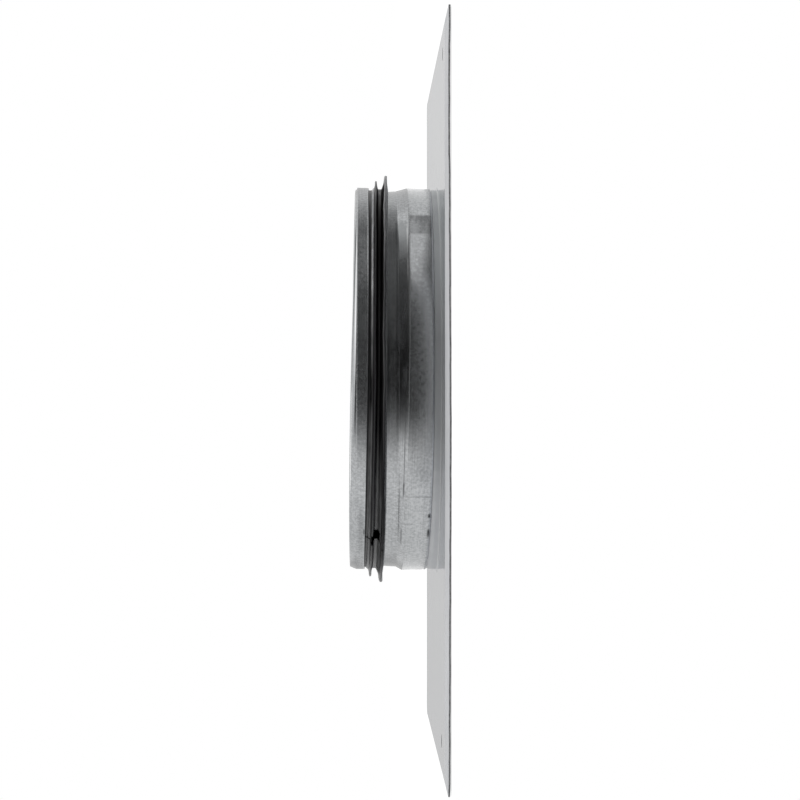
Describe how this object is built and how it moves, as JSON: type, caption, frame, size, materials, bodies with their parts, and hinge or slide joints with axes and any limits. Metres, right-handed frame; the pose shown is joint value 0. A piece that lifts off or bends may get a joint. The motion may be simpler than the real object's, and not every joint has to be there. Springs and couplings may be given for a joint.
{
  "type": "duct connector flange",
  "caption": "Square galvanised flange plate with an off-centre round spigot collar whose folded mouth holds a double-lip rubber seal, for joining a round duct to a flat panel.",
  "frame": {"origin": "centre of the plate's back face", "axes": "+Z out of the plate's front along the collar's axis; +X from the plate's centre towards the collar's axis, which lies 10.5 mm from it"},
  "size_m": [0.29, 0.29, 0.0366],
  "materials": {
    "galvanised_plate": "satin",
    "galvanised_collar": "satin",
    "seal_rubber": "matte"
  },
  "bodies": {
    "root": {"flange_plate": "galvanised_plate", "spigot_collar": "galvanised_collar", "lip_seal": "seal_rubber"}
  },
  "joints": []
}
